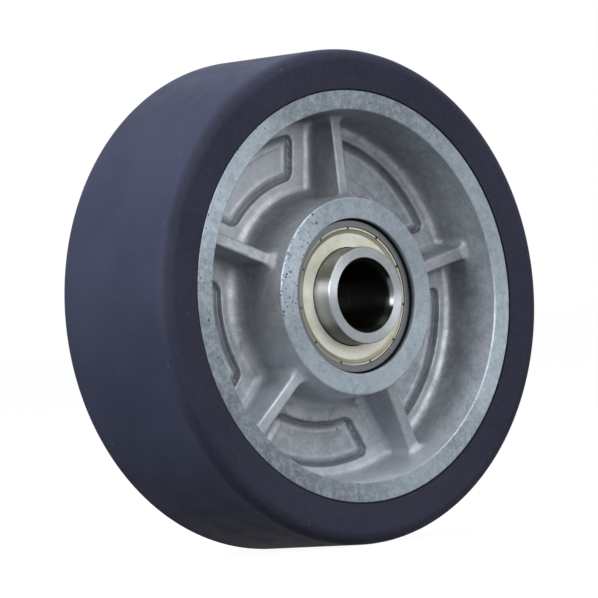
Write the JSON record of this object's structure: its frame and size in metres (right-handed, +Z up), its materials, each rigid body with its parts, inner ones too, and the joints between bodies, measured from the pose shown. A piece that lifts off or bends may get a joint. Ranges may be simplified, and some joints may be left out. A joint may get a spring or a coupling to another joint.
{
  "type": "castor wheel",
  "caption": "Heavy castor wheel with a moulded tread on a ribbed cast aluminium core and shielded ball bearings with lengthened inner rings for the axle.",
  "frame": {"origin": "centre of the wheel, on its axle line, halfway between its two sides", "axes": "+Y along the axle, from the side in the picture (-Y) to the other side; +Z up; the wheel spins about +Y"},
  "size_m": [0.15, 0.058, 0.15],
  "materials": {
    "tread_nylon": "matt, finely grained",
    "cast_aluminium": "as cast, with turned faces",
    "ring_steel": "ground and turned",
    "shield_coat": "pale yellow zinc plate",
    "cage_steel": "pressed sheet",
    "ball_steel": "polished"
  },
  "bodies": {
    "hub": {"front_inner_ring": "ring_steel", "rear_inner_ring": "ring_steel", "spacer_tube": "ring_steel"},
    "wheel": {"tread": "tread_nylon", "core": "cast_aluminium", "front_outer_ring": "ring_steel", "front_outer_shield": "shield_coat", "front_inner_shield": "shield_coat", "rear_outer_ring": "ring_steel", "rear_outer_shield": "shield_coat", "rear_inner_shield": "shield_coat"},
    "front_cage": {"front_cage_outer_half": "cage_steel", "front_cage_inner_half": "cage_steel", "front_cage_rivets": "cage_steel", "front_ball_1": "ball_steel", "front_ball_2": "ball_steel", "front_ball_3": "ball_steel", "front_ball_4": "ball_steel", "front_ball_5": "ball_steel", "front_ball_6": "ball_steel", "front_ball_7": "ball_steel", "front_ball_8": "ball_steel"},
    "rear_cage": {"rear_cage_outer_half": "cage_steel", "rear_cage_inner_half": "cage_steel", "rear_cage_rivets": "cage_steel", "rear_ball_1": "ball_steel", "rear_ball_2": "ball_steel", "rear_ball_3": "ball_steel", "rear_ball_4": "ball_steel", "rear_ball_5": "ball_steel", "rear_ball_6": "ball_steel", "rear_ball_7": "ball_steel", "rear_ball_8": "ball_steel"}
  },
  "joints": [
    {"name": "wheel_spin", "type": "hinge", "parent": "hub", "child": "wheel", "pos_m": [0, 0, 0], "axis": [0, 1, 0], "continuous": true},
    {"name": "front_cage_spin", "type": "hinge", "parent": "hub", "child": "front_cage", "pos_m": [0, -0.016, 0], "axis": [0, 1, 0], "continuous": true},
    {"name": "rear_cage_spin", "type": "hinge", "parent": "hub", "child": "rear_cage", "pos_m": [0, 0.016, 0], "axis": [0, 1, 0], "continuous": true}
  ],
  "couplings": [
    {"joint": "front_cage_spin", "follows": "wheel_spin", "ratio": 0.6185},
    {"joint": "rear_cage_spin", "follows": "wheel_spin", "ratio": 0.6185}
  ]
}
